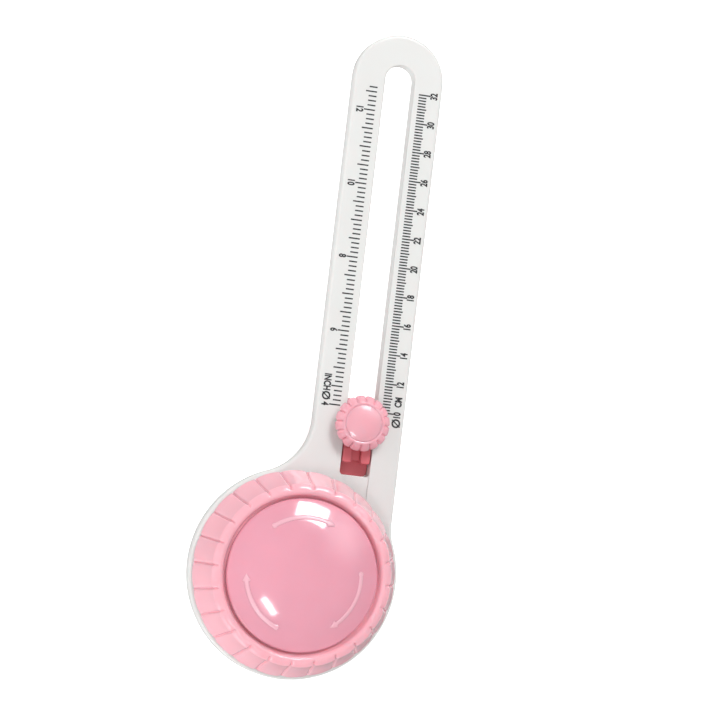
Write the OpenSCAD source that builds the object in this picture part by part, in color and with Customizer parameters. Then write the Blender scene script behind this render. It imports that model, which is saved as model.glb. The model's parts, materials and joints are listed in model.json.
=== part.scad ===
// Circle cutter: a palm knob on a non-slip foot holds the centre of a circle, a slotted arm turns
// round it, and a carriage with a small cutting wheel is clamped anywhere along the arm's slot.
// The turning axis is Z through the origin, the arm points along +Y, and the foot stands on Z = 0.

/* [Circle sizes] */
// Diameter of the smallest circle, with the carriage at the hub end of its slot
min_circle_d = 100; // [90:1:140]
// Diameter of the largest circle, with the carriage at the far end of its slot
max_circle_d = 320; // [180:1:400]

/* [Arm] */
// Width of the arm
arm_w = 31.2; // [26:0.1:38]
// Thickness of the arm
arm_t = 6; // [4.5:0.5:9]
// Sideways distance from the turning axis to the middle of the arm
arm_offset = 16.5; // [13.5:0.1:20]
// Radius of the round plate at the hub end of the arm
arm_disc_r = 36; // [34.5:0.5:44]
// Radius of the hollow curves between that plate and the arm's long edges
arm_blend_r = 20; // [8:1:30]
// Width of the slot
slot_w = 10.4; // [8.6:0.1:12.6]
// Radius of the corners at the hub end of the slot
slot_corner_r = 1.4; // [0.5:0.1:3]
// Depth of the shallow track that leads from the hub to the slot
track_drop = 0.5; // [0.2:0.1:1]
// Wall thickness of the bush in the arm
bush_wall = 2; // [1:0.1:4]

/* [Base] */
// Radius of the rubber foot
foot_r = 33; // [27:0.5:33]
// Thickness of the rubber foot
foot_t = 2.2; // [1.2:0.1:4]
// Depth of the seat that holds the foot
foot_seat = 1; // [0.5:0.1:1.5]
// Radius of the base
base_r = 34; // [33.5:0.1:40]
// Radius of the spindle that the arm turns on
spindle_r = 15; // [12.5:0.5:18]
// Outer radius of the glide rings above and below the arm
glide_r = 28; // [24:0.5:30]
// Thickness of the glide rings
glide_t = 0.6; // [0.4:0.1:1.5]

/* [Palm knob] */
// Radius of the knob at its lower edge
knob_r = 35; // [33:0.5:42]
// Width of the lip between the dome's seat and the knob's wall
lip_w = 2.8; // [2.3:0.1:3.4]
// Height of the knob from its lower edge to the top of its lip
knob_h = 15.4; // [12.8:0.1:22]
// Wall thickness of the knob
knob_wall = 2.4; // [1.8:0.1:3]
// Number of flutes round the knob
knob_flutes = 24; // [12:1:36]
// Turn of the knob about its axis against the arm's direction
knob_turn = 7; // [0:1:15]
// Radius of the dome
dome_r = 26.3; // [22:0.1:31.6]
// Rise of the dome
dome_rise = 6.5; // [4:0.1:12]
// Wall thickness of the dome
dome_wall = 2; // [1.5:0.1:3]

/* [Carriage] */
// Distance from the cutting line to the clamp knob's axis
clamp_ahead = 3.2; // [2.5:0.1:6]
// Distance from the clamp knob's axis to the hub end of the carriage
carriage_front = 17.7; // [14.8:0.1:21.3]
// Distance from the clamp knob's axis to the far end of the carriage
carriage_rear = 8.2; // [7.6:0.1:12]
// Width of each prong at the hub end of the carriage
prong_w = 3.2; // [2:0.1:3.9]
// Thickness of the shoe under the arm
shoe_t = 3.2; // [2.6:0.1:4]
// Width of the shoe's rim outside the wheel's pocket
shoe_rim = 1.1; // [0.8:0.1:2]

/* [Clamp knob] */
// Radius of the clamp knob over its lobes
clamp_r = 9.5; // [8.5:0.1:12]
// Height of the clamp knob's rim
clamp_h = 4.6; // [3.6:0.1:8]
// Number of lobes round the clamp knob
clamp_lobes = 16; // [10:1:24]
// Radius of the clamp knob's cap
clamp_cap_r = 6.3; // [5:0.1:7.6]
// Rise of the clamp knob's cap
clamp_cap_rise = 1.2; // [0.8:0.1:3]
// Radius of the clamp stud
stud_r = 2; // [1.5:0.1:2.5]

/* [Cutting wheel] */
// Radius of the cutting wheel
wheel_r = 4.5; // [3.7:0.1:5.4]
// Thickness of the cutting wheel
wheel_t = 0.5; // [0.3:0.1:0.8]
// Height of the wheel's edge above the table while nobody presses the arm
wheel_lift = 0.3; // [0.1:0.1:1]
// Height of the arm above the top of the wheel
wheel_headroom = 0.3; // [0.3:0.1:5]
// Radius of the wheel's axle
axle_r = 0.8; // [0.6:0.1:1]
// Thickness of each cheek beside the wheel
cheek_t = 2; // [1.5:0.1:2.5]

/* [Hidden] */

$fn = 96;
eps = 0.01;

// Clearances
run_gap = 0.05;     // radial, a shaft in its bore
glide_gap = 0.2;    // flat faces that slide on each other
side_gap = 0.3;     // the carriage in its slot, the dome in its seat, the wheel in its pocket
seat_gap = 0.1;     // a screw or a head in its hole
fixed_gap = 0.02;   // a pin or a thread that holds in its hole
blend_bite = 0.02;  // how far the arm's blend curve runs into the edges that it joins

// Heights, from the table up
arm_z = 2 * wheel_r + wheel_lift + wheel_headroom;
arm_top = arm_z + arm_t;
base_z = foot_t - foot_seat;
base_top = arm_z - glide_gap - glide_t;
base_h = base_top - base_z;
web_z = arm_top + glide_gap + glide_t;
knob_z = arm_top + 2 * glide_gap;
lip_z = knob_z + knob_h;
dome_z = lip_z - 1.3;

// Places along and across the arm
arm_left = arm_offset - arm_w / 2;
arm_right = arm_offset + arm_w / 2;
slot_x = arm_offset + 0.4;
cut_y = min_circle_d / 2;
travel = (max_circle_d - min_circle_d) / 2;
clamp_y = cut_y + clamp_ahead;
carriage_w = slot_w - 2 * side_gap;
slot_start = clamp_y - carriage_front - side_gap;
arm_reach = clamp_y + carriage_rear + travel + side_gap;
track_start = 20;
track_slope = 1.2;

// Hub details
bush_flange = 2;
bush_flange_h = arm_t / 5;
glide_in_r = spindle_r + bush_wall + bush_flange + 1;
hub_screw_count = 3;
hub_screw_r = 1.5;
hub_screw_reach = 5;
hub_screw_circle = spindle_r - 6;
hub_head_r = 3;
hub_head_h = 2;
hub_boss_r = 3.6;
hub_boss_h = 8;
web_t = 2.2;

// Knob details
lip_r = 1.5;
seat_drop = 2.4;
knob_lip_r = dome_r + side_gap + lip_w;
edge_h = 1;
flute_r = 1.1;
arrow_count = 3;
arrow_r = 19.5;
arrow_span = 56;
arrow_w = 1.3;
arrow_rise = 0.4;

// Carriage details
shoe_top = arm_z - glide_gap;
shoe_z = shoe_top - shoe_t;
shoe_w = arm_w - 2;
plate_h = arm_t * 0.4;
prong_len = 4.4;
tab_len = 3.4;
prong_rise = 0.3;
tab_drop = 1.4;
block_front = 9.2;
shoe_screw_r = 1;
shoe_head_r = 1.7;
shoe_head_h = 1.3;
shoe_screw_pitch = 6;
stud_head_r = 3.2;
stud_head_h = 1.8;
washer_r = 8;
washer_t = 0.8;

// Clamp knob details
clamp_z = arm_top + glide_gap + washer_t + glide_gap;
clamp_slope = 2.4;
insert_r = 3.2;
insert_h = clamp_h - 1;
cap_seat = 1.2;

// Wheel details
wheel_room = 0.4;
wheel_x = arm_offset - shoe_w / 2 + shoe_rim + wheel_room + wheel_r;
wheel_y = sqrt(cut_y * cut_y - wheel_x * wheel_x);
wheel_z = wheel_r + wheel_lift;
wheel_toe = atan(wheel_x / ((min_circle_d + max_circle_d) / 4));
bush_r = 1.7;
bush_len = 1.2;
cheek_gap = bush_len / 2 + 0.2;
cheek_w = 7;
cheek_z = wheel_lift + 1.1;
keeper_foot = 4;
keeper_foot_t = 1.4;
keeper_screw_r = 0.8;
keeper_head_r = 1.4;
keeper_head_h = 0.9;
axle_head_r = 1.3;
axle_head_h = 0.5;
shoe_front = cheek_gap + cheek_t + keeper_foot + 2.2;

module rounded_rect(x_len, y_len, r) {
    square([x_len - 2 * r, y_len], center = true);
    square([x_len, y_len - 2 * r], center = true);
    for (sx = [-1, 1], sy = [-1, 1])
        translate([sx * (x_len / 2 - r), sy * (y_len / 2 - r)])
            circle(r);
}

module ring(r_out, r_in, h) {
    difference() {
        cylinder(r = r_out, h = h);
        translate([0, 0, -eps])
            cylinder(r = r_in, h = h + 2 * eps);
    }
}

module around(count, r) {
    for (i = [0 : count - 1])
        rotate(i * 360 / count)
            translate([r, 0, 0])
                children();
}

// A screw that stands head down: its head starts at z = 0 and its tip points up
module screw(head_r, head_h, shank_r, len, recess) {
    difference() {
        union() {
            cylinder(r = head_r, h = head_h);
            cylinder(r = shank_r, h = len);
        }
        for (a = [0, 90])
            rotate(a)
                translate([-recess, -recess / 4, -eps])
                    cube([2 * recess, recess / 2, head_h * 0.6]);
    }
}

module foot_pad() {
    groove_w = 1.2;
    color("dimgray")
        difference() {
            cylinder(r = foot_r, h = foot_t);
            for (r = [foot_r * 0.55, foot_r * 0.7, foot_r * 0.85])
                translate([0, 0, -eps])
                    ring(r + groove_w, r, foot_t * 0.25);
        }
}

module base_disc() {
    chamfer = 1;
    ledge = 4;
    spindle_root = 2;
    top_t = 2.4;
    core_r = hub_screw_circle - hub_head_r - 1.5;
    color("white")
        difference() {
            union() {
                translate([0, 0, base_z])
                    cylinder(r1 = base_r - chamfer, r2 = base_r, h = chamfer);
                translate([0, 0, base_z + chamfer])
                    cylinder(r = base_r, h = base_h - chamfer);
                translate([0, 0, base_top - eps])
                    cylinder(r = spindle_r, h = web_z - base_top + eps);
            }
            translate([0, 0, base_z - eps])
                cylinder(r = foot_r, h = foot_seat + eps);
            around(hub_screw_count, hub_screw_circle) {
                cylinder(r = hub_screw_r + seat_gap, h = web_z + eps);
                cylinder(r = hub_head_r + seat_gap, h = foot_t + hub_head_h + seat_gap);
            }
            translate([0, 0, foot_t - eps])
                ring(foot_r - ledge, spindle_r + spindle_root, base_h - foot_seat - top_t);
            translate([0, 0, foot_t - eps])
                cylinder(r = core_r, h = base_h);
        }
}

module lower_glide_ring() {
    color("ivory")
        translate([0, 0, base_top])
            ring(glide_r, glide_in_r, glide_t);
}

module upper_glide_ring() {
    color("ivory")
        translate([0, 0, web_z - glide_t])
            ring(glide_r, glide_in_r, glide_t);
}

module hub_screws() {
    recess = 1.8;
    len = web_z + web_t + hub_screw_reach - foot_t;
    color("silver")
        around(hub_screw_count, hub_screw_circle)
            translate([0, 0, foot_t])
                screw(hub_head_r, hub_head_h, hub_screw_r, len, recess);
}

// Half section of the grip ring, as radius and height above its lower edge
module grip_section() {
    lip_c = [knob_lip_r - lip_r, knob_h - lip_r];
    seat_r = dome_r + side_gap;
    seat_z = lip_c[1] - seat_drop;
    ledge_r = dome_r - dome_wall - edge_h;
    floor_z = web_z - knob_z;
    corner = 1.6;
    shoulder = 5;
    difference() {
        union() {
            polygon([
                [0, floor_z], [knob_r - edge_h, 0], [knob_r, 0], [knob_r, edge_h],
                [knob_lip_r, lip_c[1]], [0, lip_c[1]]
            ]);
            translate(lip_c)
                circle(lip_r);
        }
        translate([0, seat_z])
            square([seat_r, knob_h]);
        polygon([
            [0, floor_z + web_t], [knob_r - knob_wall - corner, floor_z + web_t],
            [knob_lip_r - knob_wall - lip_r, lip_c[1] - shoulder],
            [ledge_r, seat_z + eps], [0, knob_h]
        ]);
        translate([-eps, -eps])
            square([knob_r - knob_wall + eps, floor_z + eps]);
    }
}

module grip_ring() {
    slope = atan((knob_r - knob_lip_r) / (knob_h - lip_r - edge_h));
    flute_tail = 3;
    color("lightpink")
        rotate(knob_turn)
            difference() {
                union() {
                    translate([0, 0, knob_z])
                        rotate_extrude()
                            grip_section();
                    rotate(-knob_turn)
                        around(hub_screw_count, hub_screw_circle)
                            translate([0, 0, web_z + web_t - eps])
                                cylinder(r = hub_boss_r, h = hub_boss_h);
                }
                rotate(-knob_turn)
                    around(hub_screw_count, hub_screw_circle)
                        translate([0, 0, web_z - eps])
                            cylinder(r = hub_screw_r + run_gap, h = web_t + hub_screw_reach + 1);
                for (i = [0 : knob_flutes - 1])
                    rotate((i + 0.5) * 360 / knob_flutes)
                        translate([knob_r + flute_r * 0.45, 0, knob_z + edge_h])
                            rotate([0, -slope, 0])
                                translate([0, 0, -flute_tail])
                                    cylinder(r = flute_r, h = knob_h, $fn = 24);
            }
}

// One curved arrow in plan: a bent bar with a round tail and a head that points clockwise
module arrow_outline() {
    head = 2.6;
    half = arrow_span / 2;
    difference() {
        circle(arrow_r + arrow_w / 2);
        circle(arrow_r - arrow_w / 2);
        rotate(half)
            translate([-2 * arrow_r, 0])
                square([4 * arrow_r, 2 * arrow_r]);
        rotate(-half)
            translate([-2 * arrow_r, -2 * arrow_r])
                square([4 * arrow_r, 2 * arrow_r]);
        translate([-2 * arrow_r, -2 * arrow_r])
            square([2 * arrow_r, 4 * arrow_r]);
    }
    rotate(half)
        translate([arrow_r, 0])
            circle(arrow_w * 0.8);
    rotate(-half)
        translate([arrow_r, 0])
            polygon([[-head / 2, eps], [head / 2, eps], [0, -head]]);
}

module dome_cap() {
    ball_r = (dome_r * dome_r + dome_rise * dome_rise) / (2 * dome_rise);
    ball_z = dome_z + dome_rise - ball_r;
    rim_z = lip_z - lip_r - seat_drop;
    tall = dome_rise + 10;
    color("pink")
        rotate(knob_turn)
            difference() {
                union() {
                    intersection() {
                        translate([0, 0, ball_z])
                            sphere(ball_r, $fn = 200);
                        translate([0, 0, rim_z])
                            cylinder(r = dome_r, h = tall);
                    }
                    intersection() {
                        translate([0, 0, ball_z])
                            sphere(ball_r + arrow_rise, $fn = 200);
                        translate([0, 0, dome_z])
                            linear_extrude(tall)
                                for (i = [0 : arrow_count - 1])
                                    rotate(90 + i * 360 / arrow_count)
                                        arrow_outline();
                    }
                }
                intersection() {
                    translate([0, 0, ball_z])
                        sphere(ball_r - dome_wall, $fn = 200);
                    translate([0, 0, rim_z - eps])
                        cylinder(r = dome_r - dome_wall, h = tall);
                }
            }
}

// The hollow curve between the hub plate and one long edge of the arm, which lies at edge_x;
// side is -1 for the left edge and 1 for the right one
module arm_blend(edge_x, side) {
    root = 4;
    blend_x = edge_x + side * arm_blend_r;
    reach = pow(arm_disc_r + arm_blend_r, 2) - blend_x * blend_x;
    blend_y = sqrt(max(0, reach));
    if (reach > 0)
        difference() {
            polygon([[0, 0], [edge_x - side, blend_y], [blend_x, blend_y]]);
            circle(arm_disc_r - root);
            translate([blend_x, blend_y])
                circle(arm_blend_r + blend_bite);
        }
}

module arm_outline() {
    circle(arm_disc_r);
    translate([arm_left, 0])
        square([arm_w, arm_reach]);
    translate([arm_offset, arm_reach])
        circle(arm_w / 2);
}

module slot_outline() {
    straight = arm_reach - slot_start;
    translate([slot_x, slot_start + straight / 2])
        rounded_rect(slot_w, straight, slot_corner_r);
    translate([slot_x, arm_reach - slot_corner_r])
        translate([-slot_w / 2, 0])
            square([slot_w, slot_corner_r]);
    translate([slot_x, arm_reach])
        circle(slot_w / 2);
}

// The shallow track between hub and slot: sloped on its left side, upright on its right
module track_cut() {
    half = slot_w / 2;
    translate([slot_x, slot_start + slot_corner_r, arm_top])
        rotate([90, 0, 0])
            linear_extrude(slot_start + slot_corner_r - track_start)
                polygon([
                    [-half - track_slope, 0], [-half + track_slope, -track_drop],
                    [half, -track_drop], [half, 1], [-half - track_slope, 1]
                ]);
}

module arm() {
    color("whitesmoke")
        difference() {
            translate([0, 0, arm_z]) {
                linear_extrude(arm_t)
                    difference() {
                        arm_outline();
                        slot_outline();
                        circle(spindle_r + run_gap + bush_wall);
                    }
                linear_extrude(arm_t)
                    arm_blend(arm_left, -1);
                linear_extrude(arm_t)
                    arm_blend(arm_right, 1);
            }
            translate([0, 0, arm_z - eps])
                cylinder(r = spindle_r + run_gap + bush_wall + bush_flange, h = bush_flange_h + eps);
            track_cut();
        }
}

module arm_bush() {
    color("lightgray")
        translate([0, 0, arm_z])
            difference() {
                union() {
                    cylinder(r = spindle_r + run_gap + bush_wall, h = arm_t);
                    cylinder(r = spindle_r + run_gap + bush_wall + bush_flange, h = bush_flange_h);
                }
                translate([0, 0, -eps])
                    cylinder(r = spindle_r + run_gap, h = arm_t + 2 * eps);
            }
}

module carriage() {
    block_len = carriage_rear + block_front;
    block_h = arm_t + glide_gap - 0.1;
    plate_len = carriage_rear + carriage_front;
    prong_corner = 0.6;
    tab_side_gap = 0.2;
    tab_w = carriage_w - 2 * (prong_w + tab_side_gap);
    color("palevioletred")
        translate([slot_x, clamp_y, shoe_top])
            difference() {
                union() {
                    translate([0, (carriage_rear - carriage_front) / 2, 0])
                        linear_extrude(plate_h)
                            rounded_rect(carriage_w, plate_len, slot_corner_r);
                    translate([-carriage_w / 2, -block_front, 0])
                        cube([carriage_w, block_len - slot_corner_r, block_h]);
                    translate([0, carriage_rear - block_len / 2, 0])
                        linear_extrude(block_h)
                            rounded_rect(carriage_w, block_len, slot_corner_r);
                    for (side = [-1, 1])
                        translate([side * (carriage_w - prong_w) / 2, -block_front - prong_len / 2, 0])
                            linear_extrude(arm_t + glide_gap + prong_rise)
                                rounded_rect(prong_w, prong_len, prong_corner);
                    translate([0, -block_front - tab_len / 2, 0])
                        linear_extrude(arm_t - tab_drop)
                            rounded_rect(tab_w, tab_len, prong_corner);
                }
                translate([0, 0, -eps])
                    cylinder(r = stud_r + seat_gap, h = arm_t + 1);
                for (side = [-1, 1])
                    translate([0, side * shoe_screw_pitch, -eps])
                        cylinder(r = shoe_screw_r + run_gap, h = arm_t - tab_drop);
            }
}

// Puts things at the wheel's centre with Y along its axle, which points at the turning axis
module at_wheel() {
    translate([wheel_x, wheel_y, wheel_z])
        rotate(-wheel_toe)
            children();
}

module along_axle(y_start) {
    translate([0, y_start, 0])
        rotate([-90, 0, 0])
            children();
}

module keeper_screw_place() {
    at_wheel()
        translate([0, -cheek_gap - cheek_t - keeper_foot / 2, shoe_z - wheel_z])
            children();
}

module shoe() {
    shoe_y0 = cut_y - shoe_front;
    shoe_y1 = clamp_y + carriage_rear;
    corner = 2;
    skin = 0.6;
    color("palevioletred")
        difference() {
            union() {
                translate([arm_offset, (shoe_y0 + shoe_y1) / 2, shoe_z])
                    linear_extrude(shoe_t)
                        rounded_rect(shoe_w, shoe_y1 - shoe_y0, corner);
                at_wheel()
                    translate([-cheek_w / 2, cheek_gap, cheek_z - wheel_z])
                        cube([cheek_w, cheek_t, shoe_z - cheek_z + 1]);
            }
            at_wheel()
                translate([-wheel_r - wheel_room, -cheek_gap, -wheel_r])
                    cube([2 * (wheel_r + wheel_room), 2 * cheek_gap, 3 * wheel_r]);
            at_wheel()
                along_axle(cheek_gap - eps)
                    cylinder(r = axle_r + fixed_gap, h = cheek_t + 1, $fn = 48);
            keeper_screw_place()
                translate([0, 0, -eps])
                    cylinder(r = keeper_screw_r + fixed_gap, h = shoe_t - skin, $fn = 48);
            translate([slot_x, clamp_y, shoe_z - eps]) {
                cylinder(r = stud_head_r + seat_gap, h = stud_head_h + eps);
                cylinder(r = stud_r + seat_gap, h = shoe_t + 1);
                for (side = [-1, 1])
                    translate([0, side * shoe_screw_pitch, 0]) {
                        cylinder(r = shoe_head_r + seat_gap, h = shoe_head_h + eps);
                        cylinder(r = shoe_screw_r + seat_gap, h = shoe_t + 1);
                    }
            }
        }
}

module shoe_screws() {
    color("silver")
        for (side = [-1, 1])
            translate([slot_x, clamp_y + side * shoe_screw_pitch, shoe_z])
                screw(shoe_head_r, shoe_head_h, shoe_screw_r, shoe_t + arm_t - 2, 1);
}

module clamp_stud() {
    color("silver")
        translate([slot_x, clamp_y, shoe_z]) {
            cylinder(r = stud_head_r, h = stud_head_h);
            cylinder(r = stud_r, h = clamp_z + insert_h - shoe_z - 0.4);
        }
}

module clamp_washer() {
    color("gainsboro")
        translate([slot_x, clamp_y, arm_top + glide_gap])
            ring(washer_r, stud_r + seat_gap, washer_t);
}

module wheel_keeper() {
    color("palevioletred")
        difference() {
            at_wheel()
                translate([-cheek_w / 2, -cheek_gap, cheek_z - wheel_z]) {
                    translate([0, -cheek_t, 0])
                        cube([cheek_w, cheek_t, shoe_z - cheek_z]);
                    translate([0, -cheek_t - keeper_foot, shoe_z - cheek_z - keeper_foot_t])
                        cube([cheek_w, keeper_foot + eps, keeper_foot_t]);
                }
            at_wheel()
                along_axle(-cheek_gap - cheek_t - eps)
                    cylinder(r = axle_r + fixed_gap, h = cheek_t + 2 * eps, $fn = 48);
            keeper_screw_place()
                translate([0, 0, -keeper_foot_t - eps])
                    cylinder(r = keeper_screw_r + seat_gap, h = keeper_foot_t + 2 * eps, $fn = 48);
        }
}

module keeper_screw() {
    color("silver")
        keeper_screw_place()
            translate([0, 0, -keeper_foot_t - keeper_head_h])
                screw(keeper_head_r, keeper_head_h, keeper_screw_r, keeper_foot_t + keeper_head_h + 2, 0.8);
}

module wheel_axle() {
    len = 2 * (cheek_gap + cheek_t);
    color("silver")
        at_wheel() {
            along_axle(-cheek_gap - cheek_t)
                cylinder(r = axle_r, h = len, $fn = 48);
            along_axle(cheek_gap + cheek_t)
                cylinder(r = axle_head_r, h = axle_head_h, $fn = 48);
        }
}

module wheel_bush() {
    color("goldenrod")
        at_wheel()
            along_axle(-bush_len / 2)
                difference() {
                    cylinder(r = bush_r, h = bush_len, $fn = 48);
                    translate([0, 0, -eps])
                        cylinder(r = axle_r + run_gap, h = bush_len + 2 * eps, $fn = 48);
                }
}

module cutting_wheel() {
    bevel = 0.9;
    edge = 0.06;
    half = wheel_t / 2;
    color("silver")
        at_wheel()
            along_axle(0)
                rotate_extrude()
                    polygon([
                        [bush_r, -half], [wheel_r - bevel, -half], [wheel_r, -edge / 2],
                        [wheel_r, edge / 2], [wheel_r - bevel, half], [bush_r, half]
                    ]);
}

module clamp_knob() {
    lobe_h = 2.4;
    lobe_foot = 2;
    lobe_r = PI * clamp_r / clamp_lobes * 0.5;
    body_r = clamp_r - lobe_r * 0.45;
    top_r = clamp_cap_r + 1;
    color("lightpink")
        translate([slot_x, clamp_y, clamp_z])
            difference() {
                union() {
                    cylinder(r1 = washer_r, r2 = body_r, h = clamp_h - clamp_slope);
                    translate([0, 0, clamp_h - clamp_slope])
                        cylinder(r1 = body_r, r2 = top_r, h = clamp_slope);
                    around(clamp_lobes, clamp_r - lobe_r)
                        translate([0, 0, clamp_h - clamp_slope - lobe_foot])
                            cylinder(r = lobe_r, h = lobe_h, $fn = 32);
                }
                translate([0, 0, -eps])
                    cylinder(r = insert_r, h = insert_h + eps);
                translate([0, 0, clamp_h - cap_seat])
                    cylinder(r = clamp_cap_r + seat_gap, h = cap_seat + eps);
            }
}

module clamp_insert() {
    color("goldenrod")
        translate([slot_x, clamp_y, clamp_z])
            ring(insert_r, stud_r + run_gap, insert_h - 0.2);
}

module clamp_cap() {
    ball_r = (clamp_cap_r * clamp_cap_r + clamp_cap_rise * clamp_cap_rise) / (2 * clamp_cap_rise);
    color("pink")
        translate([slot_x, clamp_y, clamp_z + clamp_h])
            intersection() {
                translate([0, 0, clamp_cap_rise - ball_r])
                    sphere(ball_r);
                translate([0, 0, -cap_seat])
                    cylinder(r = clamp_cap_r, h = cap_seat + clamp_cap_rise + 1);
            }
}

foot_pad();
base_disc();
lower_glide_ring();
upper_glide_ring();
hub_screws();
grip_ring();
dome_cap();
arm();
arm_bush();
carriage();
shoe();
shoe_screws();
clamp_stud();
clamp_washer();
wheel_keeper();
keeper_screw();
wheel_axle();
wheel_bush();
cutting_wheel();
clamp_knob();
clamp_insert();
clamp_cap();
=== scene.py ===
"""Looks of the circle cutter: rounded mouldings, printed diameter scales, plastics, rubber and steel."""
import json
import math

import bmesh
import bpy
from mathutils import Matrix, Quaternion, Vector


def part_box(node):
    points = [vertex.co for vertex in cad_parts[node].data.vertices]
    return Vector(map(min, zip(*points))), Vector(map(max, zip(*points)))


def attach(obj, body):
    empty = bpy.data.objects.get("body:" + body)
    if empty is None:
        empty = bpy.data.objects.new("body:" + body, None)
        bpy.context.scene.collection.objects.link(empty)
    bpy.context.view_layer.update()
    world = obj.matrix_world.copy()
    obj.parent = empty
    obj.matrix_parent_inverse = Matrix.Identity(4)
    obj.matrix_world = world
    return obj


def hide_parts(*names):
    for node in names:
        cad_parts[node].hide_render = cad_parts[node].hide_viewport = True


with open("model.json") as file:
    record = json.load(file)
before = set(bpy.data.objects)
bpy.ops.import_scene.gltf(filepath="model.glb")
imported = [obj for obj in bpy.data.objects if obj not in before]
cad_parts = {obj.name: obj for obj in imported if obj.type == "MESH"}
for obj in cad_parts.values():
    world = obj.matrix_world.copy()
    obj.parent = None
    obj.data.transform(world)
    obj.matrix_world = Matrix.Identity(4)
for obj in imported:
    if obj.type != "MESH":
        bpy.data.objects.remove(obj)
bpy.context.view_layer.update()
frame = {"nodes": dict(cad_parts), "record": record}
MM = 0.001


# ---------------------------------------------------------------- sizes, from the frame

def span(node, axis, keep=lambda co: True):
    """Lowest and highest coordinate along one axis of those points of a CAD node that keep() accepts."""
    values = [v.co[axis] for v in frame["nodes"][node].data.vertices if keep(v.co)]
    return min(values), max(values)


arm_lo, arm_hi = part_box("arm")
carriage_lo, carriage_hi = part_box("carriage")
ring_lo, ring_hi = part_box("grip_ring")
dome_lo, dome_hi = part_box("dome_cap")
clamp_lo, clamp_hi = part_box("clamp_knob")
cap_lo, cap_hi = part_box("clamp_cap")

SLOT_GAP = 0.3 * MM          # play of the carriage in its slot, on each side
BLEND_R = 20 * MM            # hollow curves between the hub plate and the arm
SLOT_CORNER_R = 1.4 * MM
disc_r = -arm_lo.x
arm_left, arm_right = span("arm", 0, lambda co: co.y > 2 * disc_r)
arm_w = arm_right - arm_left
arm_mid = (arm_left + arm_right) / 2
arm_reach = arm_hi.y - arm_w / 2
arm_top = arm_hi.z
slot_x = (carriage_lo.x + carriage_hi.x) / 2
slot_half = (carriage_hi.x - carriage_lo.x) / 2 + SLOT_GAP
slot_start = carriage_lo.y - SLOT_GAP
bore_r = span("arm_bush", 0, lambda co: co.z > arm_top - 1 * MM)[1]
clamp_c = Vector(((clamp_lo.x + clamp_hi.x) / 2, (clamp_lo.y + clamp_hi.y) / 2, 0))
KNOB_TURN = math.radians(7)  # how far the palm knob is turned from the arm
KNOB_FLUTES = 24
CLAMP_LOBES = 16
SHARP_ANGLE = math.radians(32)
MERGE_DIST = 1e-7


# ---------------------------------------------------------------- camera

CAMERA_AT = Vector((-0.2035, 0.0206, 1.0087))
LOOK_AT = Vector((0.0142, 0.0747, 0.0156))
IMAGE_UP = Vector((-0.1192, 0.9929, 0))
LENS_MM = 149.3
SENSOR_MM = 36


def add_camera():
    """A long lens above the hub side of the arm, as the object was pictured."""
    data = bpy.data.cameras.new("camera")
    data.lens = LENS_MM
    data.sensor_width = SENSOR_MM
    data.clip_start = 0.01
    data.clip_end = 20
    camera = bpy.data.objects.new("camera", data)
    bpy.context.scene.collection.objects.link(camera)
    back = (CAMERA_AT - LOOK_AT).normalized()
    right = IMAGE_UP.cross(back).normalized()
    up = back.cross(right)
    rotation = Matrix((right, up, back)).transposed()
    camera.matrix_world = Matrix.Translation(CAMERA_AT) @ rotation.to_4x4()
    bpy.context.scene.camera = camera


# ---------------------------------------------------------------- materials

# Noise scales are in features a metre.
TINT_SCALE = 45
GLOSS_SCALE = 160
SKIN_SCALE = 1800
SKIN_DEPTH = 0.05 * MM
COAT_ROUGH = 0.03
GLOW_SPREAD = (1.0, 0.4, 0.4)   # red light travels furthest in the pink plastics
GLOW_DEPTH = 2.8 * MM


def new_material(name):
    """A node material with its tree, its shader and the object's own coordinates."""
    mat = bpy.data.materials.new(name)
    mat.use_nodes = True
    tree = mat.node_tree
    shader = tree.nodes["Principled BSDF"]
    coords = tree.nodes.new("ShaderNodeTexCoord")
    return mat, tree, shader, coords


def noise(tree, coords, scale, detail=3.0, roughness=0.5):
    """A noise texture in object coordinates."""
    node = tree.nodes.new("ShaderNodeTexNoise")
    node.inputs["Scale"].default_value = scale
    node.inputs["Detail"].default_value = detail
    node.inputs["Roughness"].default_value = roughness
    tree.links.new(coords.outputs["Object"], node.inputs["Vector"])
    return node


def ramp(tree, source, stops):
    """A colour ramp over a value: two stops of (position, grey or colour)."""
    node = tree.nodes.new("ShaderNodeValToRGB")
    for element, (place, value) in zip(node.color_ramp.elements, stops):
        element.position = place
        element.color = (*value, 1) if isinstance(value, tuple) else (value, value, value, 1)
    tree.links.new(source, node.inputs["Fac"])
    return node


def bump(tree, shader, height, strength, distance):
    """Feeds a height into the shader's normal."""
    node = tree.nodes.new("ShaderNodeBump")
    node.inputs["Strength"].default_value = strength
    node.inputs["Distance"].default_value = distance
    tree.links.new(height, node.inputs["Height"])
    tree.links.new(node.outputs["Normal"], shader.inputs["Normal"])


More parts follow.
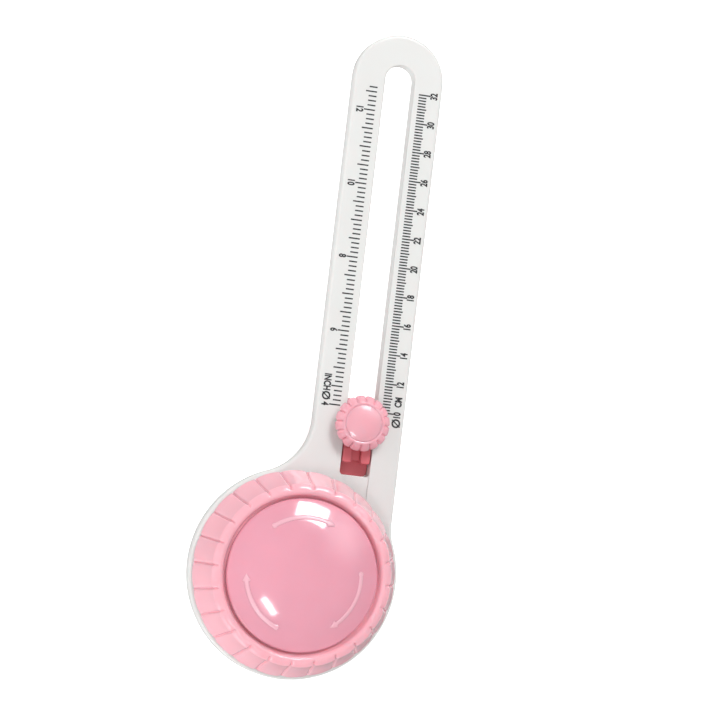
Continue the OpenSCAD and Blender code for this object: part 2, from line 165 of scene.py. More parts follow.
def plastic(name, colour, rough, coat=0.0, grain=0.02, shift=0.03, soft=0.0):
    """A moulded plastic: faint colour drift, flow marks in the gloss and a fine skin texture."""
    mat, tree, shader, coords = new_material(name)
    drift = noise(tree, coords, TINT_SCALE, 2)
    darker = tuple(c * (1 - shift) for c in colour)
    lighter = tuple(min(1.0, c * (1 + shift)) for c in colour)
    tint = ramp(tree, drift.outputs["Fac"], [(0.3, darker), (0.7, lighter)])
    tree.links.new(tint.outputs["Color"], shader.inputs["Base Color"])
    marks = noise(tree, coords, GLOSS_SCALE, 1)
    gloss = ramp(tree, marks.outputs["Fac"], [(0.25, rough * 0.92), (0.8, rough * 1.1)])
    tree.links.new(gloss.outputs["Color"], shader.inputs["Roughness"])
    skin = noise(tree, coords, SKIN_SCALE, 2)
    bump(tree, shader, skin.outputs["Fac"], grain, SKIN_DEPTH)
    shader.inputs["IOR"].default_value = 1.5
    shader.inputs["Coat Weight"].default_value = coat
    shader.inputs["Coat Roughness"].default_value = COAT_ROUGH
    if soft:
        shader.inputs["Subsurface Weight"].default_value = soft
        shader.inputs["Subsurface Radius"].default_value = GLOW_SPREAD
        shader.inputs["Subsurface Scale"].default_value = GLOW_DEPTH
    return mat


def metal(name, colour, rough, scratch_scale, stretch=(1, 1, 1)):
    """A worked metal: fine lines in the gloss, stretched along the tool's way."""
    mat, tree, shader, coords = new_material(name)
    mapping = tree.nodes.new("ShaderNodeMapping")
    mapping.inputs["Scale"].default_value = stretch
    tree.links.new(coords.outputs["Object"], mapping.inputs["Vector"])
    lines = noise(tree, coords, scratch_scale, 5, 0.65)
    tree.links.new(mapping.outputs["Vector"], lines.inputs["Vector"])
    darker = tuple(c * 0.86 for c in colour)
    tint = ramp(tree, lines.outputs["Fac"], [(0.3, darker), (0.75, colour)])
    tree.links.new(tint.outputs["Color"], shader.inputs["Base Color"])
    gloss = ramp(tree, lines.outputs["Fac"], [(0.3, rough * 0.7), (0.75, rough * 1.5)])
    tree.links.new(gloss.outputs["Color"], shader.inputs["Roughness"])
    bump(tree, shader, lines.outputs["Fac"], 0.15, 0.03 * MM)
    shader.inputs["Metallic"].default_value = 1.0
    return mat


def rubber(name, colour):
    """A matt moulded rubber with a fine grain and dust in its pores."""
    mat, tree, shader, coords = new_material(name)
    pores = noise(tree, coords, SKIN_SCALE / 2, 4, 0.6)
    dusty = tuple(c * 1.5 + 0.01 for c in colour)
    tint = ramp(tree, pores.outputs["Fac"], [(0.35, colour), (0.8, dusty)])
    tree.links.new(tint.outputs["Color"], shader.inputs["Base Color"])
    gloss = ramp(tree, pores.outputs["Fac"], [(0.3, 0.62), (0.8, 0.85)])
    tree.links.new(gloss.outputs["Color"], shader.inputs["Roughness"])
    bump(tree, shader, pores.outputs["Fac"], 0.4, 0.1 * MM)
    shader.inputs["Specular IOR Level"].default_value = 0.3
    return mat


def ink(name, colour):
    """Pad-printed ink: nearly black, a little worn and uneven."""
    mat, tree, shader, coords = new_material(name)
    wear = noise(tree, coords, 2600, 3, 0.6)
    thin = tuple(c * 2.2 + 0.03 for c in colour)
    tint = ramp(tree, wear.outputs["Fac"], [(0.45, colour), (0.85, thin)])
    tree.links.new(tint.outputs["Color"], shader.inputs["Base Color"])
    gloss = ramp(tree, wear.outputs["Fac"], [(0.3, 0.4), (0.8, 0.6)])
    tree.links.new(gloss.outputs["Color"], shader.inputs["Roughness"])
    return mat


WHITE = (0.84, 0.84, 0.83)
ARM_WHITE = (0.745, 0.745, 0.73)
IVORY = (0.72, 0.71, 0.66)
GREY_WHITE = (0.60, 0.60, 0.58)
RING_PINK = (0.88, 0.46, 0.525)
DOME_PINK = (0.815, 0.355, 0.445)
ARROW_PINK = (0.88, 0.46, 0.54)
KNOB_PINK = (0.85, 0.41, 0.475)
CARRIAGE_PINK = (0.66, 0.145, 0.17)
STEEL = (0.62, 0.62, 0.63)
BLADE_STEEL = (0.70, 0.71, 0.73)
BRASS = (0.80, 0.58, 0.26)
BLACK_RUBBER = (0.035, 0.035, 0.037)
BLACK_INK = (0.018, 0.018, 0.02)

MATERIALS = {
    "foot_rubber": rubber("foot_rubber", BLACK_RUBBER),
    "base_plastic": plastic("base_plastic", WHITE, 0.32, grain=0.05, shift=0.012),
    "glide_plastic": plastic("glide_plastic", IVORY, 0.45, grain=0.08, shift=0.02),
    "fastener_steel": metal("fastener_steel", STEEL, 0.28, 700, (1, 1, 8)),
    "ring_pink": plastic("ring_pink", RING_PINK, 0.15, coat=0.35, grain=0.008, soft=0.5),
    "dome_pink": plastic("dome_pink", DOME_PINK, 0.13, coat=0.6, grain=0.008, soft=0.35),
    "arrow_pink": plastic("arrow_pink", ARROW_PINK, 0.22, coat=0.3, grain=0.01, soft=0.1),
    "arm_white": plastic("arm_white", ARM_WHITE, 0.32, 0.1, grain=0.015, shift=0.01, soft=0.1),
    "bush_plastic": plastic("bush_plastic", GREY_WHITE, 0.42, grain=0.08),
    "carriage_pink": plastic("carriage_pink", CARRIAGE_PINK, 0.36, grain=0.015, soft=0.1),
    "brass": metal("brass", BRASS, 0.25, 900, (1, 1, 6)),
    "blade_steel": metal("blade_steel", BLADE_STEEL, 0.16, 1400),
    "knob_pink": plastic("knob_pink", KNOB_PINK, 0.26, coat=0.3, grain=0.01, soft=0.4),
    "scale_ink": ink("scale_ink", BLACK_INK),
}


# ---------------------------------------------------------------- mesh helpers

def mesh_object(bm, name):
    """Turns a bmesh into an object of the scene."""
    bmesh.ops.recalc_face_normals(bm, faces=bm.faces)
    mesh = bpy.data.meshes.new(name)
    bm.to_mesh(mesh)
    bm.free()
    obj = bpy.data.objects.new(name, mesh)
    bpy.context.scene.collection.objects.link(obj)
    return obj


def finish_piece(bm, name, material, body, replaces=()):
    """Turns a bmesh into a shaded piece that rides on a body."""
    bmesh.ops.remove_doubles(bm, verts=bm.verts, dist=MERGE_DIST)
    obj = mesh_object(bm, name)
    obj.data.shade_smooth()
    obj.data.set_sharp_from_angle(angle=SHARP_ANGLE)
    obj.data.materials.append(MATERIALS[material])
    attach(obj, body)
    if replaces:
        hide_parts(*replaces)
    return obj


def arc(centre, r, start, end, steps, inward):
    """Points of an arc as (x, y, nx, ny); the normal goes into the solid, to the centre if inward is -1."""
    points = []
    for i in range(steps + 1):
        a = math.radians(start + (end - start) * i / steps)
        c, s = math.cos(a), math.sin(a)
        points.append((centre[0] + r * c, centre[1] + r * s, inward * c, inward * s))
    return points


def rounded_rect(centre, half_x, half_y, r, steps=6):
    """The outline of a rectangle with round corners, with its inward normals."""
    x, y = half_x - r, half_y - r
    corners = (((x, y), 0), ((-x, y), 90), ((-x, -y), 180), ((x, -y), 270))
    loop = []
    for (cx, cy), a in corners:
        loop += arc((centre[0] + cx, centre[1] + cy), r, a, a + 90, steps, -1)
    return loop


FLAT_RIM = 0.2 * MM          # flat strip beside a rounded edge, which keeps the shading of the face even


def edge_levels(z0, z1, r0, r1, steps=5):
    """Heights and insets of an upright wall whose lower edge is rounded by r0 and upper edge by r1."""
    turns = [math.pi / 2 * i / steps for i in range(steps + 1)]
    bottom = [(z0 + r0 * (1 - math.cos(a)), r0 * (1 - math.sin(a))) for a in turns]
    top = [(z1 - r1 * (1 - math.sin(a)), r1 * (1 - math.cos(a))) for a in turns]
    return [(z0, r0 + FLAT_RIM)] + bottom + top + [(z1, r1 + FLAT_RIM)]


def bridge(bm, low, high):
    """Joins two closed rows of points with faces; points that fall together give a triangle or nothing."""
    for i in range(len(low)):
        j = (i + 1) % len(low)
        corners = dict.fromkeys((low[i], low[j], high[j], high[i]))
        if len(corners) > 2:
            bm.faces.new(tuple(corners))


def add_plate(bm, loops, z0, z1, steps=5):
    """A flat solid between two heights. Each loop comes with the radii of its lower and upper edge; the
    first is the outline and the others are holes."""
    bottom_edges, top_edges = [], []
    for loop, r0, r1 in loops:
        rings = []
        for z, inset in edge_levels(z0, z1, r0, r1, steps):
            rings.append([bm.verts.new((x + nx * inset, y + ny * inset, z)) for x, y, nx, ny in loop])
        for low, high in zip(rings, rings[1:]):
            bridge(bm, low, high)
        count = len(loop)
        bottom_edges += [bm.edges.get((rings[0][i], rings[0][(i + 1) % count])) for i in range(count)]
        top_edges += [bm.edges.get((rings[-1][i], rings[-1][(i + 1) % count])) for i in range(count)]
    for edges in (bottom_edges, top_edges):
        bmesh.ops.triangle_fill(bm, use_beauty=True, use_dissolve=False, edges=edges)


def even_angles(count):
    """Angles round a plain body of revolution."""
    return [2 * math.pi * i / count for i in range(count)]


def notch_angles(count, r):
    """Angles round a body that has notches, close together at each notch, for a body of radius r."""
    half = math.pi / count
    offsets = [o * MM / r for o in (0.1, 0.2, 0.3, 0.42, 0.56, 0.75)]
    offsets += [offsets[-1] + (half - offsets[-1]) * t for t in (0.12, 0.3, 0.5, 0.75)]
    angles = []
    for i in range(count):
        middle = 2 * math.pi * i / count
        angles += [middle - o for o in reversed(offsets)] + [middle]
        angles += [middle + o for o in offsets] + [middle + half]
    return angles


def add_lathe(bm, profile, angles, depth=lambda i, a: 0.0):
    """A body of revolution about Z from (radius, height) points that run up the outside and in over the
    top; depth() sinks profile point i below the surface at an angle."""
    rings = []
    for i, (r, z) in enumerate(profile):
        if r < 1e-9:
            rings.append([bm.verts.new((0, 0, z))] * len(angles))
            continue
        (r0, z0), (r1, z1) = profile[max(i - 1, 0)], profile[min(i + 1, len(profile) - 1)]
        run = math.hypot(r1 - r0, z1 - z0)
        out_r, out_z = (z1 - z0) / run, -(r1 - r0) / run
        ring = []
        for a in angles:
            d = depth(i, a)
            rr = r - out_r * d
            ring.append(bm.verts.new((rr * math.cos(a), rr * math.sin(a), z - out_z * d)))
        rings.append(ring)
    for low, high in zip(rings, rings[1:]):
        bridge(bm, low, high)


def curve_points(start, end, bulge, steps):
    """Points from start to end along a circular bow whose height is bulge times the chord."""
    (x0, y0), (x1, y1) = start, end
    points = []
    for i in range(steps + 1):
        t = i / steps
        lift = 4 * bulge * t * (1 - t)
        points.append((x0 + (x1 - x0) * t - (y1 - y0) * lift, y0 + (y1 - y0) * t + (x1 - x0) * lift))
    return points


# ---------------------------------------------------------------- arm

ARM_EDGE_R = 1.2 * MM
ARM_LOW_EDGE_R = 0.5 * MM
SLOT_EDGE_R = 0.45 * MM
BORE_EDGE_R = 0.3 * MM
SLOT_SOFTNESS = 0.6          # share by which the slot's edge radius grows to the left, shrinks to the right
SLOT_END_SOFTNESS = 0.3


def blend_centre(side):
    """Centre of the hollow curve between the hub plate and the arm's long edge on that side."""
    x = (arm_left if side < 0 else arm_right) + side * BLEND_R
    return x, math.sqrt(max(0.0, (disc_r + BLEND_R) ** 2 - x * x))


def arm_outline():
    """The arm's outline, anticlockwise from the foot of its right-hand edge."""
    right, left = blend_centre(1), blend_centre(-1)
    right_a = math.degrees(math.atan2(right[1], right[0]))
    left_a = math.degrees(math.atan2(left[1], left[0]))
    loop = arc(right, BLEND_R, 180 + right_a, 180, 16, 1)
    loop += arc((arm_mid, arm_reach), arm_w / 2, 0, 180, 64, -1)
    loop += arc(left, BLEND_R, 0, left_a - 180, 40, 1)
    loop += arc((0, 0), disc_r, left_a, 360 + right_a, 150, -1)[1:-1]
    return loop


def slot_outline():
    """The slot: square with small corners at the hub end, round at the far end. Its left edge is softest
    and its hub end nearly sharp."""
    x, r = slot_half - SLOT_CORNER_R, SLOT_CORNER_R
    loop = arc((slot_x, arm_reach), slot_half, 0, 180, 40, 1)
    loop += arc((slot_x - x, slot_start + r), r, 180, 270, 6, 1)
    loop += arc((slot_x + x, slot_start + r), r, 270, 360, 6, 1)
    soft = []
    for px, py, nx, ny in loop:
        side = (px - slot_x) / slot_half
        f = 1 - SLOT_SOFTNESS * side if py > slot_start + r else SLOT_END_SOFTNESS
        soft.append((px, py, nx * f, ny * f))
    return soft


TRACK_DROP = 0.5 * MM
TRACK_SLOPE = 1.2 * MM
TRACK_END = 22 * MM          # under the palm knob
TRACK_STEPS = 16


def track_cutter():
    """The space of the shallow track: its left side slopes in softly, its right side is upright."""
    left, right = slot_x - slot_half, slot_x + slot_half
    profile = []
    for i in range(TRACK_STEPS + 1):
        t = i / TRACK_STEPS
        profile.append((left + TRACK_SLOPE * (2 * t - 1), arm_top - TRACK_DROP * t * t * (3 - 2 * t)))
    profile += [(right, arm_top - TRACK_DROP), (right, arm_top + MM), (left - TRACK_SLOPE, arm_top + MM)]
    bm = bmesh.new()
    near = [bm.verts.new((x, TRACK_END, z)) for x, z in profile]
    far = [bm.verts.new((x, slot_start + SLOT_CORNER_R, z)) for x, z in profile]
    bridge(bm, near, far)
    bm.faces.new(near)
    bm.faces.new(far)
    return mesh_object(bm, "track")


def make_arm():
    """The slotted arm with its rounded edges and the shallow track that leads from the slot to the hub."""
    bm = bmesh.new()
    bore = arc((0, 0), bore_r, 0, 360, 96, 1)[:-1]
    loops = [(arm_outline(), ARM_LOW_EDGE_R, ARM_EDGE_R)]
    loops.append((slot_outline(), SLOT_EDGE_R, SLOT_EDGE_R))
    loops.append((bore, BORE_EDGE_R, BORE_EDGE_R))
    add_plate(bm, loops, arm_lo.z, arm_top)
    arm = finish_piece(bm, "arm_body", "arm_white", "arm", replaces=["arm"])

    cutter = track_cutter()
    cut = arm.modifiers.new("track", "BOOLEAN")
    cut.operation = "DIFFERENCE"
    cut.object = cutter
    cut.solver = "EXACT"
    bpy.context.view_layer.update()
    mesh = bpy.data.meshes.new_from_object(arm.evaluated_get(bpy.context.evaluated_depsgraph_get()))
    arm.modifiers.remove(cut)
    arm.data = mesh
    mesh.set_sharp_from_angle(angle=SHARP_ANGLE)
    bpy.data.objects.remove(cutter)


# ---------------------------------------------------------------- palm knob

def notch(a, count, width, r):
    """How deep in a notch an angle lies, from 0 between notches to 1 in the middle of one of them."""
    step = 2 * math.pi / count
    off = (a + step / 2) % step - step / 2
    return math.exp(-((off * r / width) ** 2))


def pillow(a, count):
    """How far an angle lies from the middle of its panel: 0 in the middle, 1 at the notch."""
    step = 2 * math.pi / count
    return (1 - abs((a + step / 2) % step - step / 2) / (step / 2)) ** 2


def flutes(profile, fades, count, width, cut, swell):
    """A depth function for add_lathe(): notches between swollen panels, faded from one profile point to the
    next."""
    def depth(i, a):
        """How far profile point i sinks at an angle."""
        if fades[i] == 0:
            return 0.0
        return fades[i] * (cut * notch(a, count, width, profile[i][0]) + swell * pillow(a, count))
    return depth


RING_NOTCH_W = 0.36 * MM
RING_NOTCH_DEPTH = 0.55 * MM
RING_PILLOW = 0.28 * MM
SKIRT_R = 35 * MM
LIP_R = 28.3 * MM            # crest of the lip
LIP_OUT = 2.5 * MM           # reach of its round outward and inward, and its rise
LIP_IN = 1.5 * MM
LIP_RISE = 2.0 * MM
LIP_START = 18               # degrees above level where the skirt runs into the lip
NOTCH_END = 88               # degrees where the notches end, and over how many they fade out
NOTCH_FADE = 26

# The skirt's lower rim as (inset from its radius, height), in millimetres.
SKIRT_FOOT = ((2.4, 0.3), (2.2, 0), (0.6, 0), (0.15, 0.15))
# The lip's inner wall down to the dome, as (radius, drop below the lip's centre), in millimetres.
VALLEY = ((26.5, 0.2), (26.3, 0.6), (25.9, 0.85), (24.2, 0.9), (24.2, 4.5))
lip_z = ring_hi.z - ring_lo.z - LIP_RISE


def lip_point(out, a):
    """A point of the lip's round at an angle above its outward side, for a reach of out."""
    turn = math.radians(a)
    return LIP_R + out * math.cos(turn), lip_z + LIP_RISE * math.sin(turn)


def make_grip_ring():
    """The fluted skirt with its broad round lip; its notches end on the lip's crest."""
    low_r = min(ring_hi.x, SKIRT_R)
    profile = [(low_r - inset * MM, z * MM) for inset, z in SKIRT_FOOT]
    fades = [0.0, 0.0, 0.0, 0.5]
    wall = curve_points((low_r, 0.6 * MM), lip_point(LIP_OUT, LIP_START), 0.02, 24)
    profile += wall
    fades += [1.0] * len(wall)
    for i in range(1, 19):
        a = LIP_START + (90 - LIP_START) * i / 18
        profile.append(lip_point(LIP_OUT, a))
        fades.append(min(1.0, max(0.0, (NOTCH_END - a) / NOTCH_FADE)))
    profile += [lip_point(LIP_IN, 90 + 75 * i / 11) for i in range(1, 12)]
    for r, drop in VALLEY:
        profile.append((r * MM, lip_z - drop * MM))
    profile += [(low_r - 3.4 * MM, 2.6 * MM), profile[0]]
    fades += [0.0] * (len(profile) - len(fades))
    depth = flutes(profile, fades, KNOB_FLUTES, RING_NOTCH_W, RING_NOTCH_DEPTH, RING_PILLOW)
    bm = bmesh.new()
    add_lathe(bm, profile, notch_angles(KNOB_FLUTES, low_r), depth)
    turn = Matrix.Rotation(KNOB_TURN + math.pi / KNOB_FLUTES, 4, "Z")
    bmesh.ops.transform(bm, verts=bm.verts, matrix=Matrix.Translation((0, 0, ring_lo.z)) @ turn)
    finish_piece(bm, "grip_ring_skirt", "ring_pink", "hub", replaces=["grip_ring"])


DOME_RISE = 6.5 * MM
DOME_WALL = 2 * MM
DOME_RIM_R = 1.2 * MM
DOME_STEPS = 40
dome_r = min(dome_hi.x, 26.3 * MM)
dome_ball = (dome_r ** 2 + DOME_RISE ** 2) / (2 * DOME_RISE)


def dome_height(r):
    """Height of the dome's surface at a distance from its axis."""
    return dome_hi.z - dome_ball + math.sqrt(dome_ball ** 2 - r * r)


def make_dome():
    """The glossy cap: a shallow ball with a softly rolled rim."""
    rim_r = dome_r - DOME_RIM_R
    profile = []
    for i in range(DOME_STEPS + 1):
        r = rim_r * i / DOME_STEPS
        profile.append((r, dome_height(r)))
    tilt = math.asin(rim_r / dome_ball)
    z = dome_height(rim_r)
    centre = (rim_r - DOME_RIM_R * math.sin(tilt), z - DOME_RIM_R * math.cos(tilt))
    for i in range(1, 9):
        a = math.pi / 2 - tilt - (math.pi / 2 - tilt) * i / 8
        profile.append((centre[0] + DOME_RIM_R * math.cos(a), centre[1] + DOME_RIM_R * math.sin(a)))
    edge = profile[-1][0]
    inner = edge - DOME_WALL
    profile += [(edge, dome_lo.z), (inner, dome_lo.z), (inner, z - DOME_WALL)]
    for i in range(1, 13):
        r = inner * (1 - i / 12)
        profile.append((r, dome_height(r) - DOME_WALL))
    bm = bmesh.new()
    add_lathe(bm, profile, even_angles(160))
    finish_piece(bm, "dome_shell", "dome_pink", "hub", replaces=["dome_cap"])


ARROWS = 3
ARROW_R = 19.5 * MM
ARROW_SPAN = math.radians(67)
ARROW_HALF_W = 0.7 * MM
ARROW_HEIGHT = 0.42 * MM
ARROW_SINK = 0.25 * MM
ARROW_TAIL_R = 0.95 * MM
ARROW_HEAD_LEN = 2.7 * MM
ARROW_HEAD_HALF = 1.45 * MM


def arrow_half_width(s, length):
    """Half width of an arrow at a distance along it: a round tail, an even stroke and a pointed head."""
    if s < 2 * ARROW_TAIL_R:
        tail = math.sqrt(max(0.0, ARROW_TAIL_R ** 2 - (s - ARROW_TAIL_R) ** 2))
        return max(tail, ARROW_HALF_W if s > ARROW_TAIL_R else 0.0)
    left = length - s
    if left < ARROW_HEAD_LEN:
        return ARROW_HEAD_HALF * left / ARROW_HEAD_LEN
    return ARROW_HALF_W


def make_arrow(index, middle):
    """One raised arrow that follows the dome clockwise about its middle angle."""
    steps, across = 72, 10
    length = ARROW_SPAN * ARROW_R
    bm = bmesh.new()
    rings = []
    for i in range(steps + 1):
        s = length * i / steps
        half = max(arrow_half_width(s, length), 0.02 * MM)
        a = middle + ARROW_SPAN / 2 - s / ARROW_R
        tall = ARROW_HEIGHT * min(1.0, half / ARROW_HALF_W)
        ring = []
        for k in range(across + 1):
            t = math.pi * k / across
            r = ARROW_R + half * math.cos(t)
            z = dome_height(r) + tall * math.sin(t) ** 0.8 - 0.02 * MM
            ring.append(bm.verts.new((r * math.cos(a), r * math.sin(a), z)))
        for side in (-1, 1):
            r = ARROW_R + side * half
            ring.append(bm.verts.new((r * math.cos(a), r * math.sin(a), dome_height(r) - ARROW_SINK)))
        rings.append(ring)
    for low, high in zip(rings, rings[1:]):
        bridge(bm, low, high)
    bm.faces.new(rings[0])
    bm.faces.new(rings[-1])
    finish_piece(bm, f"dome_arrow_{index}", "arrow_pink", "hub")


# ---------------------------------------------------------------- clamp knob

CLAMP_NOTCH_W = 0.3 * MM
CLAMP_NOTCH_DEPTH = 0.42 * MM
CLAMP_PILLOW = 0.22 * MM
CLAMP_BORE_R = 3.25 * MM
CLAMP_SEAT = ((0.35, 0.02), (0.1, 0.18), (-0.4, 0.3))    # (reach past the cap, drop from the top) in mm
CLAMP_CAP_RIM_R = 0.5 * MM
clamp_cap_r = (cap_hi.x - cap_lo.x) / 2
clamp_cap_rise = cap_hi.z - clamp_hi.z


def make_clamp_knob():
    """The small scalloped knob: its notches run from the rim up the slope to the cap."""
    r_out = (clamp_hi.x - clamp_lo.x) / 2
    height = clamp_hi.z - clamp_lo.z
    profile = [(CLAMP_BORE_R, 0.0), (6.6 * MM, 0.0), (7.4 * MM, 0.15 * MM)]
    fades = [0.0, 0.0, 0.0]
    side = curve_points((r_out - 1.2 * MM, 0.9 * MM), (r_out, 2.1 * MM), -0.12, 8)
    side += curve_points((r_out, 2.3 * MM), (clamp_cap_r + 0.7 * MM, height), -0.10, 20)
    profile += side
    fades += [min(1.0, max(0.0, (r - clamp_cap_r - 0.8 * MM) / (0.7 * MM))) for r, _ in side]
    profile += [(clamp_cap_r + out * MM, height - drop * MM) for out, drop in CLAMP_SEAT]
    profile += [(CLAMP_BORE_R, height - CLAMP_SEAT[-1][1] * MM), (CLAMP_BORE_R, 0.0)]
    fades += [0.0] * (len(profile) - len(fades))
    depth = flutes(profile, fades, CLAMP_LOBES, CLAMP_NOTCH_W, CLAMP_NOTCH_DEPTH, CLAMP_PILLOW)
    bm = bmesh.new()
    add_lathe(bm, profile, notch_angles(CLAMP_LOBES, r_out), depth)
    bmesh.ops.translate(bm, verts=bm.verts, vec=(clamp_c.x, clamp_c.y, clamp_lo.z))
    finish_piece(bm, "clamp_knob_rim", "knob_pink", "clamp", replaces=["clamp_knob"])


def make_clamp_cap():
    """The low glossy cap in the middle of the clamp knob."""
    ball = (clamp_cap_r ** 2 + clamp_cap_rise ** 2) / (2 * clamp_cap_rise)
    inner = clamp_cap_r - CLAMP_CAP_RIM_R
    profile = []
    for i in range(25):
        r = inner * i / 24
        profile.append((r, cap_hi.z - ball + math.sqrt(ball ** 2 - r * r)))
    z_rim = profile[-1][1]
    for a in (30, 50, 70, 90):
        turn = math.radians(a)
        r = inner + CLAMP_CAP_RIM_R * math.sin(turn)
        profile.append((r, z_rim - CLAMP_CAP_RIM_R * (1 - math.cos(turn))))
    profile += [(clamp_cap_r, cap_lo.z), (0, cap_lo.z)]
    bm = bmesh.new()
    add_lathe(bm, profile, even_angles(96))
    bmesh.ops.translate(bm, verts=bm.verts, vec=(clamp_c.x, clamp_c.y, 0))
    finish_piece(bm, "clamp_cap_dome", "knob_pink", "clamp", replaces=["clamp_cap"])


# ---------------------------------------------------------------- carriage

PLATE_FIT = 0.15 * MM        # the low plate fills half of its play in the slot
PLATE_T = 1.9 * MM
TAB_T = 4.6 * MM
BLOCK_AHEAD = 9.2 * MM       # the tall block starts this far before the clamp's axis
PRONG_W = 3.2 * MM
PRONG_LEN = 4.4 * MM
TAB_LEN = 3.4 * MM
PLATE_LAP = 0.6 * MM         # how far prongs and tab reach down into the plate
BLOCK_CORNER_R = 0.8 * MM    # of the block and the prongs, seen from above
TAB_CORNER_R = 0.4 * MM
HIDDEN_EDGE_R = 0.1 * MM     # lower edges, which nobody sees
BLOCK_INSET = 0.05 * MM      # keeps the block clear of the plate's sides
PRONG_INSET = 0.1 * MM
TAB_INSET = 0.25 * MM


def add_block(bm, x, y0, y1, half_w, corner, z0, z1, low_r, top_r):
    """A box with round corners and edges, centred on x, between two places along the slot."""
    outline = rounded_rect((x, (y0 + y1) / 2), half_w, (y1 - y0) / 2, corner)
    add_plate(bm, [(outline, low_r, top_r)], z0, z1)


def make_carriage():
    """The slider in the slot: a low plate, the tall block under the knob, two prongs and a tab."""
    half_w = (carriage_hi.x - carriage_lo.x) / 2
    floor_z, top_z = carriage_lo.z, carriage_hi.z
    plate_top = floor_z + PLATE_T
    front = clamp_c.y - BLOCK_AHEAD
    y0, y1 = carriage_lo.y - PLATE_FIT, carriage_hi.y + PLATE_FIT
    block_half = half_w - BLOCK_INSET
    block_y0, block_y1 = front + BLOCK_INSET, carriage_hi.y - BLOCK_INSET
    prong_x = half_w - PRONG_W / 2 - PRONG_INSET
    tab_half = half_w - PRONG_W - TAB_INSET
    bm = bmesh.new()
    add_block(
        bm, slot_x, y0, y1, half_w + PLATE_FIT, SLOT_CORNER_R,
        floor_z, plate_top, 0.2 * MM, 0.35 * MM
    )
    add_block(
        bm, slot_x, block_y0, block_y1, block_half, BLOCK_CORNER_R,
        floor_z + 0.2 * MM, top_z - 0.4 * MM, HIDDEN_EDGE_R, 0.3 * MM
    )
    for side in (-1, 1):
        add_block(
            bm, slot_x + side * prong_x, front - PRONG_LEN, front + 0.8 * MM, PRONG_W / 2, BLOCK_CORNER_R,
            plate_top - PLATE_LAP, top_z, HIDDEN_EDGE_R, 0.45 * MM
        )
    add_block(
        bm, slot_x, front - TAB_LEN, front + 0.6 * MM, tab_half, TAB_CORNER_R,
        plate_top - PLATE_LAP, floor_z + TAB_T, HIDDEN_EDGE_R, 0.15 * MM
    )
    finish_piece(bm, "carriage_slider", "carriage_pink", "carriage", replaces=["carriage"])


# ---------------------------------------------------------------- printed scales

INDEX_AHEAD = 7.75 * MM      # the carriage is read this far beyond its cutting line
INK_T = 0.03 * MM
INK_SINK = 0.01 * MM
TICK_W = 0.46 * MM
CM_TICKS_X = 23.9 * MM
INCH_TICKS_X = 9.2 * MM
CM_TEXT_X = 29.4 * MM
INCH_TEXT_X = 3.75 * MM
MIN_CM, MAX_CM = 10, 32
MIN_INCH, MAX_INCH = 4, 12
CM_RADIUS = 5 * MM           # one centimetre, and one inch, of diameter is this much travel
INCH_RADIUS = 12.7 * MM
SHORT_TICK = 2.8 * MM
CM_TICK = 3.2 * MM
CM_LABEL_TICK = 4.2 * MM
INCH_TICK = 3.9 * MM
TEXT_SIZE = 3.3 * MM
TEXT_CONDENSE = 0.72
TEXT_WEIGHT = 0.042          # share of the size by which a stroke is thickened
DIAMETER_SIGN = "\u00d8"
SIGN_CONDENSE = 0.95
SIGN_WEIGHT = 0.025


def add_tick(bm, x0, x1, y):
    """One printed line across the arm."""
    loop = rounded_rect(((x0 + x1) / 2, y), abs(x1 - x0) / 2, TICK_W / 2, 0.05 * MM, 2)
    low = [bm.verts.new((x, yy, arm_top - INK_SINK)) for x, yy, _, _ in loop]
    high = [bm.verts.new((x, yy, arm_top + INK_T)) for x, yy, _, _ in loop]
    bridge(bm, low, high)
    bm.faces.new(high)
    bm.faces.new(list(reversed(low)))


def make_cm_scale():
    """Diameters in centimetres on the right-hand rail: a line every 2 mm of diameter."""
    bm = bmesh.new()
    for i in range((MAX_CM - MIN_CM) * 5 + 1):
        length = SHORT_TICK if i % 5 else CM_TICK if i % 10 else CM_LABEL_TICK
        add_tick(bm, CM_TICKS_X, CM_TICKS_X + length, (MIN_CM + i / 5) * CM_RADIUS + INDEX_AHEAD)
    finish_piece(bm, "scale_cm_lines", "scale_ink", "arm")


def make_inch_scale():
    """Diameters in inches on the left-hand rail: a line every eighth of an inch of diameter."""
    bm = bmesh.new()
    for i in range((MAX_INCH - MIN_INCH) * 8 + 6):
        length = SHORT_TICK if i % 4 else INCH_TICK
        add_tick(bm, INCH_TICKS_X - length, INCH_TICKS_X, (MIN_INCH + i / 8) * INCH_RADIUS + INDEX_AHEAD)
    finish_piece(bm, "scale_inch_lines", "scale_ink", "arm")


def label_mesh(words, size, turn, at):
    """A printed word as a mesh, centred on a place; the diameter sign is wider and lighter."""
    is_sign = words == DIAMETER_SIGN
    condense = SIGN_CONDENSE if is_sign else TEXT_CONDENSE
    data = bpy.data.curves.new("label", "FONT")
    data.body = words
    data.size = size
    data.align_x = "CENTER"
    data.align_y = "CENTER"
    data.extrude = INK_T / 2
    data.offset = (SIGN_WEIGHT if is_sign else TEXT_WEIGHT) * size
    data.resolution_u = 4
    obj = bpy.data.objects.new("label", data)
    bpy.context.scene.collection.objects.link(obj)
    bpy.context.view_layer.update()
    mesh = bpy.data.meshes.new_from_object(obj.evaluated_get(bpy.context.evaluated_depsgraph_get()))
    mesh.transform(
        Matrix.Translation((*at, arm_top + INK_T / 2))
        @ Matrix.Rotation(turn, 4, "Z") @ Matrix.Diagonal((condense, 1, 1, 1))
    )
    bpy.data.objects.remove(obj)
    return mesh


